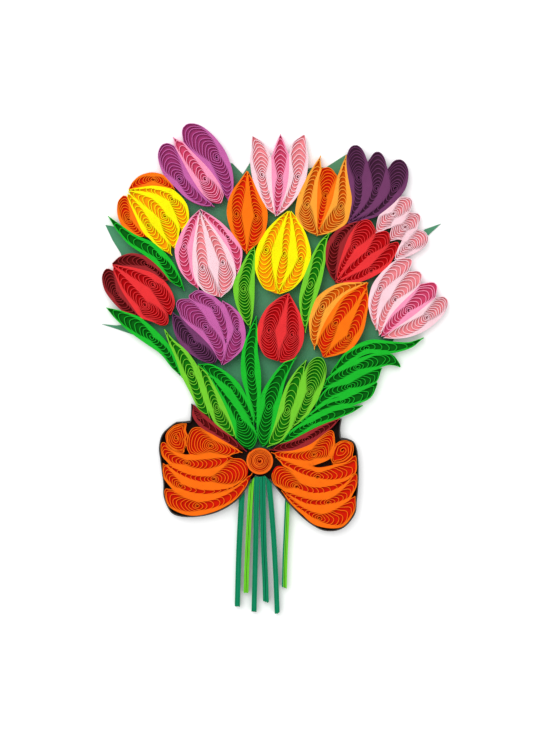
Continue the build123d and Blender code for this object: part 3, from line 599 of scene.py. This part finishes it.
def webPair(outlines, top, material):
    # the painted shade sheet between the turns, with the eye cut out, and a deeper painted shade
    # disc in the eye
    paintedShadeLayer = curveObject("web", outlines, web["thickness"], True)
    paintedShadeDisc = curveObject("paintedShadeInEye", [outlines[1][::-1]], web["thickness"], True)
    return [finishCurve(paintedShadeLayer, top - web["depth"], material),
            finishCurve(paintedShadeDisc, top - web["eyeDepth"], material)]


def standStrips(name, lines, low, high, thickness, material):
    # paper strips on edge along these lines
    strips = finishCurve(curveObject(name, lines, high - low, False), (low + high) / 2, material)
    shell = strips.modifiers.new("paperThickness", "SOLIDIFY")
    shell.thickness = thickness
    shell.offset = 0
    bpy.ops.object.modifier_apply(modifier=shell.name)
    bpy.ops.object.mode_set(mode="EDIT")
    bpy.ops.mesh.select_all(action="SELECT")
    bpy.ops.mesh.normals_make_consistent(inside=False)
    bpy.ops.object.mode_set(mode="OBJECT")
    bpy.ops.object.shade_smooth_by_angle(angle=smoothBelow)
    return strips


def joinInto(piece, others, nodeName):
    pickOnly(piece)
    for thing in others:
        thing.select_set(True)
    bpy.ops.object.join()
    piece.name = camelName(nodeName)
    dress(piece, nodeName)


def rolledPiece(nodeName, paperName):
    low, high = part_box(nodeName)
    stripMaterial, paintedShadeMaterial = paperMaterials[paperName]
    rolls = []
    paintedShadeSheets = []
    for number, coil in enumerate(coils[nodeName]):
        line, paper = rollStrip(coil, nodeName + str(number))
        line = [insideBox(point, paper / 2) for point in line]
        eye = eyeOutline(coil)
        line += hookFrom(line, sum(eye, Vector((0, 0))) / len(eye))
        rolls.append(standStrips("roll", [line], low.z, high.z, paper * roll["fill"], stripMaterial))
        # each coil gets a painted shade sheet between its turns and a painted shade disc in its eye
        paintedShadeSheets += webPair([webOutline(coil, paper), eye], high.z, paintedShadeMaterial)
    joinInto(rolls[0], rolls[1:] + paintedShadeSheets, nodeName)


# Tulips: each part of a flower and the paper it is rolled from
tulips = {
    "magenta_tulip_sides": "magenta",
    "magenta_tulip_centre": "hotPink",
    "yellow_orange_tulip_outer": "orange",
    "yellow_orange_tulip_inner": "yellow",
    "left_pink_tulip_outer": "hotPink",
    "left_pink_tulip_inner": "palePink",
    "small_orange_tulip": "orange",
    "top_pink_tulip_sides": "palePink",
    "top_pink_tulip_centre": "hotPink",
    "amber_tulip_sides": "amber",
    "amber_tulip_centre": "orange",
    "dark_purple_tulip": "darkPurple",
    "yellow_tulip": "yellow",
    "right_red_tulip_outer": "darkRed",
    "right_red_tulip_inner": "red",
    "pale_pink_bud": "palePink",
    "right_orange_tulip_outer": "amber",
    "right_orange_tulip_inner": "orange",
    "right_pink_tulip_pale": "palePink",
    "right_pink_tulip_hot": "hotPink",
    "left_red_tulip_outer": "darkRed",
    "left_red_tulip_inner": "red",
    "violet_tulip_outer": "magenta",
    "violet_tulip_inner": "darkPurple",
    "centre_red_tulip": "red",
}

# Leaves
leaves = {
    "leaf_upper_left": "green",
    "leaf_lower_left": "green",
    "leaf_light_left": "lightGreen",
    "leaf_light_inner": "lightGreen",
    "leaf_round_foot": "green",
    "leaf_bent": "green",
    "leaf_light_centre": "lightGreen",
    "leaf_light_right": "lightGreen",
    "leaf_upright": "green",
    "leaf_wide": "green",
    "leaf_light_long": "lightGreen",
    "leaf_light_round_top": "lightGreen",
    "fan_leaf_1": "green",
    "fan_leaf_2": "green",
    "fan_leaf_3": "green",
    "fan_leaf_4": "green",
    "fan_leaf_5": "green",
}

# Bow
bow = {
    "bow_tail_left": "darkRed",
    "bow_tail_right": "darkRed",
    "bow_left_top": "bowOrange",
    "bow_right_top": "bowOrange",
    "bow_left_loop": "bowOrange",
    "bow_right_loop": "bowOrange",
}

# Glue: the tips of a flower meet in a point, and neighbours are pressed on each other
glue = {
    # last words of names, where they only say which part of a flower a piece is
    "partWords": ("sides", "centre", "outer", "inner", "pale", "hot", "top", "loop"),
    "roundFrom": 0.5,          # rounder ends than this have no tip to gather
    "tipReach": 0.0011,
    "tipDraw": 0.6,            # how far a tip moves to where its flower's tips meet
    "tipBend": 0.35,           # share of the petal's length that bends with it
    "passes": 3,
    "probe": 0.0003,           # how far inside a side the look for a neighbour starts
    "reach": 0.0006,           # and how far out it goes
    "inFlower": 0.00016,       # most that a pass presses a side out, within a flower
    "elsewhere": 0.00005,      # and between others
    "tipHalf": 0.00025,        # where a coil is thinner than this its sides move less
    "evenOver": 3,             # places on each side
    "evenBy": 0.00002,
    "stepPast": 0.0005,        # past a coil's own wall, in mm
}
coils = {}
for nodeName in [*tulips, *leaves, *bow]:
    outers, holes = topLoops(nodeName)
    coils[nodeName] = [readCoil(outline, coreOf(outline, holes)) for outline in outers]


def flowerOf(nodeName):
    # each half of the bow counts as a flower too
    words = nodeName.split("_")
    return "_".join(words[:-1]) if words[-1] in glue["partWords"] else nodeName


def gatherTips(petals):
    ends = []
    for coil in petals:
        if coil["roundNear"] < glue["roundFrom"]:
            ends.append((coil, 0))
        if coil["roundFar"] < glue["roundFrom"]:
            ends.append((coil, -1))
    moves = []
    for coil, end in ends:
        tip = coil["place"][end]
        met = [other["place"][otherEnd] for other, otherEnd in ends
               if (other["place"][otherEnd] - tip).length < glue["tipReach"]]
        if len(met) > 1:
            meeting = sum(met, Vector((0, 0))) / len(met)
            moves.append((coil, end, (meeting - tip) * glue["tipDraw"]))
    for coil, end, move in moves:
        length = coil["along"][-1]
        for n, run in enumerate(coil["along"]):
            share = 1 - (run if end == 0 else length - run) / (glue["tipBend"] * length)
            if share > 0:
                coil["place"][n] = coil["place"][n] + move * share ** 2


def wallTree(everyCoil):
    # walls of all the outlines, in mm, with the coil that each belongs to
    corners, sides, owners = [], [], []
    for number, coil in enumerate(everyCoil):
        count = len(coil["place"])
        left = [coil["place"][n] + coil["side"][n] * coil["half"][n] for n in range(count)]
        right = [coil["place"][n] - coil["side"][n] * coil["half"][n] for n in range(count)]
        outline = left + right[-2:0:-1]
        first = len(corners)
        for point in outline:
            corners.append((point.x * toMm, point.y * toMm, -1))
            corners.append((point.x * toMm, point.y * toMm, 1))
        for n in range(len(outline)):
            here, after = first + 2 * n, first + 2 * ((n + 1) % len(outline))
            sides.append((here, after, after + 1, here + 1))
            owners.append(number)
    return BVHTree.FromPolygons(corners, sides), owners


def gapAhead(tree, owners, own, point, way):
    start = point * toMm - way * glue["probe"] * toMm
    farthest = (glue["probe"] + glue["reach"]) * toMm
    gone = 0.0
    while gone < farthest:
        hit, _, index, distance = tree.ray_cast(start.to_3d(), way.to_3d(), farthest - gone)
        if hit is None:
            return None, None
        gone += distance
        if owners[index] != own:
            return gone / toMm - glue["probe"], owners[index]
        gone += glue["stepPast"]
        start = Vector((hit.x, hit.y)) + way * glue["stepPast"]
    return None, None


def growthOf(coil, own, way, tree, owners, flowers):
    # how far each place on this side moves out to meet its neighbour
    raw = []
    for n in range(len(coil["place"])):
        out = coil["side"][n] * way
        wall = coil["place"][n] + out * coil["half"][n]
        gap, other = gapAhead(tree, owners, own, wall, out)
        if gap is None:
            raw.append(0.0)
            continue
        most = glue["inFlower"] if flowers[own] == flowers[other] else glue["elsewhere"]
        share = gap / 2
        if share > most:
            share = most * max(2 - share / most, 0.0)
        raw.append(max(share, -glue["inFlower"]) * min(coil["half"][n] / glue["tipHalf"], 1.0))
    even = []
    for n in range(len(raw)):
        beside = raw[max(n - glue["evenOver"], 0):n + glue["evenOver"] + 1]
        even.append(min(sum(beside) / len(beside), raw[n] + glue["evenBy"]))
    return even


def pressTogether(everyCoil, flowers):
    tree, owners = wallTree(everyCoil)
    growths = []
    for own, coil in enumerate(everyCoil):
        growths.append([growthOf(coil, own, way, tree, owners, flowers) for way in (1, -1)])
    for coil, (lefts, rights) in zip(everyCoil, growths):
        for n, (left, right) in enumerate(zip(lefts, rights)):
            coil["place"][n] = coil["place"][n] + coil["side"][n] * (left - right) / 2
            coil["half"][n] = max(coil["half"][n] + (left + right) / 2, 0.0)


everyCoil = [coil for nodeName in coils for coil in coils[nodeName]]
flowers = [flowerOf(nodeName) for nodeName in coils for coil in coils[nodeName]]
for flower in dict.fromkeys(flowerOf(nodeName) for nodeName in tulips):
    gatherTips([coil for coil, owner in zip(everyCoil, flowers) if owner == flower])
for _ in range(glue["passes"]):
    pressTogether(everyCoil, flowers)
for coil in everyCoil:
    setSlope(coil)
print("coils read and pressed together:", len(everyCoil))

for pieces in (tulips, leaves, bow):
    for nodeName, paperName in pieces.items():
        rolledPiece(nodeName, paperName)
print("rolled:", len(tulips), "tulip pieces,", len(leaves), "leaves,", len(bow), "bow pieces")

# The knot is rolled tighter, with its outer turns flat on each other
knot = {
    "paper": 0.00015,
    "eye": 0.0005,
    "eyeShare": 0.7,
    "outerTurns": 2.6,
    "outerPitch": 0.000165,
    "innerTurns": 7,
    "steps": 64,
    "startAngle": 2.4,
    "slack": 0.00009,          # how unevenly the inner turns lie
    "easeIn": 6,
    "easeOut": 8,
    # share of the slack, waves per turn, start
    "waves": ((1.0, 0.86, 1.9), (0.7, 0.31, 0.0)),
    "paintedShadeCorners": 64,
    "eyeCorners": 16,
}


def tightRoll():
    outside = (knotHigh.x - knotLow.x) / 2 - knot["paper"] / 2
    outerEnd = outside - knot["outerTurns"] * knot["outerPitch"]
    points = []
    for step in range(round((knot["outerTurns"] + knot["innerTurns"]) * knot["steps"]) + 1):
        turn = step / knot["steps"]
        if turn < knot["outerTurns"]:
            radius = outside - turn * knot["outerPitch"]
        else:
            inner = (turn - knot["outerTurns"]) / knot["innerTurns"]
            radius = outerEnd - (outerEnd - knot["eye"]) * inner
            ease = min(inner * knot["easeIn"], 1.0) * min((1 - inner) * knot["easeOut"], 1.0)
            for share, often, start in knot["waves"]:
                radius += knot["slack"] * ease * share * math.sin(2 * math.pi * turn * often + start)
        angle = 2 * math.pi * turn + knot["startAngle"]
        points.append(knotCentre + Vector((math.cos(angle), math.sin(angle))) * radius)
    return points


def circle(radius, corners, way):
    angles = [2 * math.pi * i / corners for i in range(corners)]
    return [knotCentre + Vector((math.cos(a), way * math.sin(a))) * radius for a in angles]


stripMaterial, paintedShadeMaterial = paperMaterials["knotOrange"]
knotLine = tightRoll()
knotLine += hookFrom(knotLine, knotCentre)
knotPiece = standStrips("knotRoll", [knotLine], knotLow.z, knotHigh.z, knot["paper"], stripMaterial)
# a painted shade sheet between the knot's turns, and a painted shade disc in its eye
paintedShadeEdge = circle((knotHigh.x - knotLow.x - knot["paper"]) / 2, knot["paintedShadeCorners"], 1)
eyeEdge = circle(knot["eye"] * knot["eyeShare"], knot["eyeCorners"], -1)
joinInto(knotPiece, webPair([paintedShadeEdge, eyeEdge], knotHigh.z, paintedShadeMaterial), "bow_knot")
print("knot rolled")

# Rims: the strip on edge runs round the loop in a smooth line
rims = {
    "papers": {"bow_rim_left": "rimGrey", "bow_rim_right": "rimGrey"},
    "perSpan": 6,
}


def shortestEdges(outline):
    count = len(outline)
    byLength = sorted(range(count), key=lambda i: (outline[(i + 1) % count] - outline[i]).length)
    return sorted(byLength[:2])


def sidesOf(outline, ends):
    # the two long sides of a narrow outline, split at these two edges
    count = len(outline)
    first, second = ends
    one = [outline[i % count] for i in range(first + 1, second + 1)]
    other = [outline[i % count] for i in range(second + 1, first + 1 + count)]
    return one, other[::-1]


def smoothLine(points, perSpan):
    before = points[0] * 2 - points[1]
    after = points[-1] * 2 - points[-2]
    last = (len(points) - 1) * perSpan
    return [spline(points, n / perSpan, before, after) for n in range(last + 1)]


for nodeName, paperName in rims["papers"].items():
    outers, _ = topLoops(nodeName)
    low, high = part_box(nodeName)
    one, other = sidesOf(outers[0], shortestEdges(outers[0]))
    line = smoothLine([(a + b) / 2 for a, b in zip(one, other)], rims["perSpan"])
    thickness = sum((a - b).length for a, b in zip(one, other)) / len(one)
    material = paperMaterials[paperName][0]
    rim = standStrips(camelName(nodeName), [line], low.z, high.z, thickness, material)
    dress(rim, nodeName)
print("rims:", len(rims["papers"]))

# Stems: strips on edge, glued flat on each other. A folded one opens along its middle.
stems = {
    # paper, how much the strips spread at the bow and at the free end, strips of the second paper
    "pieces": {
        "stem_dark_left": ("tealStem", 0.00028, 0.00006, 0),
        "stem_dark_middle": ("tealStem", 0.00012, 0.00008, 0),
        "stem_dark_folded": ("tealStem", 0.00026, 0.00024, 0),
        "stem_dark_right": ("tealStem", 0.00018, 0.00004, 0),
        "stem_light_left": ("limeStem", 0.00004, 0.0, 0),
        "stem_light_right": ("limeStem", 0.00006, 0.00004, 2),
    },
    "secondPaper": "tealStem",
    "strips": 6,
    "fill": 0.9,
    "perSpan": 6,
    "steps": (0.0, 0.00014, 0.00005),   # the strips' edges aren't quite level
    "seat": 0.00015,           # the upper ends reach the bow's edge
    "trim": 0.0003,            # how unevenly the free ends are cut
    "slant": 0.0005,           # and how much askew
    "foldGap": 0.00014,
}


def stemEdges(outline):
    # the edge under the bow and the cut at the free end
    count = len(outline)
    height = [(outline[i] + outline[(i + 1) % count]).y for i in range(count)]
    return sorted((height.index(max(height)), height.index(min(height))))


def spreadSides(nodeName, atBow, atEnd):
    # the stem's left and right sides from the bow down, moved apart
    outers, holes = topLoops(nodeName)
    one, other = sidesOf(outers[0], stemEdges(outers[0]))
    if one[0].y < one[-1].y:
        one.reverse()
        other.reverse()
    if one[0].x > other[0].x:
        one, other = other, one
    for n in range(len(one)):
        spread = (other[n] - one[n]).normalized() * lerp(atBow, atEnd, n / (len(one) - 1)) / 2
        one[n], other[n] = one[n] - spread, other[n] + spread
    return one, other, len(holes) > 0


for nodeName, (paperName, atBow, atEnd, seconds) in stems["pieces"].items():
    low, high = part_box(nodeName)
    dice = random.Random(nodeName)
    slant = dice.uniform(-1, 1) * stems["slant"]
    one, other, folded = spreadSides(nodeName, atBow, atEnd)
    width = (one[1] - other[1]).length
    thickness = width / stems["strips"] * stems["fill"]
    strips = []
    edges = []
    for number in range(stems["strips"]):
        share = (number + 0.5) / stems["strips"]
        if folded:
            closed = 1 - stems["foldGap"] / width
            share = share * closed if share < 0.5 else 1 - (1 - share) * closed
        line = smoothLine([a.lerp(b, share) for a, b in zip(one, other)], stems["perSpan"])
        line[0] = line[0] + (line[0] - line[1]).normalized() * stems["seat"]
        up = (line[-2] - line[-1]).normalized()
        cut = stems["trim"] * dice.random() + slant * (share - 0.5) + abs(slant) / 2
        line[-1] = line[-1] + up * cut
        edges.append(line)
        top = high.z - stems["steps"][number % len(stems["steps"])]
        paper = stems["secondPaper"] if number < seconds else paperName
        strips.append(standStrips("strip", [line], low.z, top, thickness, paperMaterials[paper][0]))
    # a painted shade sheet under the strips' tops darkens the gaps between them
    paintedShadeLayer = curveObject("stemWeb", [edges[0] + edges[-1][::-1]], web["thickness"], True)
    finishCurve(paintedShadeLayer, high.z - web["depth"], paperMaterials[paperName][1])
    joinInto(strips[-1], [*strips[:-1], paintedShadeLayer], nodeName)
print("stems:", len(stems["pieces"]))

# The cut sheets keep their solids and get their paper
plain = {
    "green_backing": "sageSheet",
    "bow_backing": "bowSheet",
}
for nodeName, paperName in plain.items():
    nodes[nodeName].data.materials.clear()
    nodes[nodeName].data.materials.append(paperMaterials[paperName][0])
print("sheets:", len(plain))

# Floor, light and camera
studio = {
    "floorSize": 3.0,
    "floorDrop": 0.00005,
    "floorDiffuse": 0.76,
    "floorGlow": 0.42,
    "glowReach": 0.0015,       # the glow fades in gaps narrower than this
    "glowSamples": 8,
    "skyStrength": 0.74,
    "lampPlace": (-0.35, 0.45, 0.9),
    "lampSize": 0.8,
    "lampPower": 6.0,
    "lensLength": 120,
    "sensor": 36,
    "farthest": 20,
    "distance": 0.6,
    "lookAt": (-0.00043, -0.0014, 0.0032),
}


def seenDirectly(tree):
    # 1 for what the camera or a reflection sees
    lightPath = tree.nodes.new("ShaderNodeLightPath")
    seen = tree.nodes.new("ShaderNodeMath")
    seen.operation = "MAXIMUM"
    tree.links.new(lightPath.outputs["Is Camera Ray"], seen.inputs[0])
    tree.links.new(lightPath.outputs["Is Glossy Ray"], seen.inputs[1])
    return seen.outputs[0]


bpy.ops.mesh.primitive_plane_add(size=studio["floorSize"], location=(0, 0, -studio["floorDrop"]))
floor = bpy.context.object
floor.name = "floor"
floorPaint = bpy.data.materials.new("floorPaint")
floorPaint.use_nodes = True
tree = floorPaint.node_tree
tree.nodes.clear()
matt = tree.nodes.new("ShaderNodeBsdfDiffuse")
matt.inputs["Color"].default_value = (studio["floorDiffuse"],) * 3 + (1,)
# ambient occlusion fades the floor's glow in narrow gaps: a painted contact shade on top of the
# lamps' shadow
paintedGapShade = tree.nodes.new("ShaderNodeAmbientOcclusion")
paintedGapShade.inputs["Distance"].default_value = studio["glowReach"]
paintedGapShade.samples = studio["glowSamples"]
strength = tree.nodes.new("ShaderNodeMath")
strength.operation = "MULTIPLY"
strength.inputs[1].default_value = studio["floorGlow"]
glow = tree.nodes.new("ShaderNodeEmission")
both = tree.nodes.new("ShaderNodeAddShader")
out = tree.nodes.new("ShaderNodeOutputMaterial")
tree.links.new(seenDirectly(tree), strength.inputs[0])
tree.links.new(strength.outputs[0], glow.inputs["Strength"])
tree.links.new(paintedGapShade.outputs["Color"], glow.inputs["Color"])
tree.links.new(matt.outputs[0], both.inputs[0])
tree.links.new(glow.outputs[0], both.inputs[1])
tree.links.new(both.outputs[0], out.inputs["Surface"])
floor.data.materials.append(floorPaint)

world = bpy.data.worlds.new("studioSky")
world.use_nodes = True
bpy.context.scene.world = world
tree = world.node_tree
sky = tree.nodes["Background"]
sky.inputs["Color"].default_value = (1, 1, 1, 1)
level = tree.nodes.new("ShaderNodeMapRange")
level.inputs["To Min"].default_value = studio["skyStrength"]
level.inputs["To Max"].default_value = 1.0
tree.links.new(seenDirectly(tree), level.inputs["Value"])
tree.links.new(level.outputs["Result"], sky.inputs["Strength"])

bpy.ops.object.light_add(type="AREA", location=studio["lampPlace"])
lamp = bpy.context.object
lamp.name = "softBox"
lamp.data.size = studio["lampSize"]
lamp.data.energy = studio["lampPower"]
lamp.rotation_euler = (-Vector(studio["lampPlace"])).to_track_quat("-Z", "Y").to_euler()

bpy.ops.object.camera_add(location=Vector(studio["lookAt"]) + Vector((0, 0, studio["distance"])))
camera = bpy.context.object
camera.name = "camera"
camera.data.sensor_width = studio["sensor"]
camera.data.lens = studio["lensLength"]
camera.data.clip_end = studio["farthest"]
bpy.context.scene.camera = camera
bpy.context.scene.view_settings.view_transform = "Standard"
print("stage set")
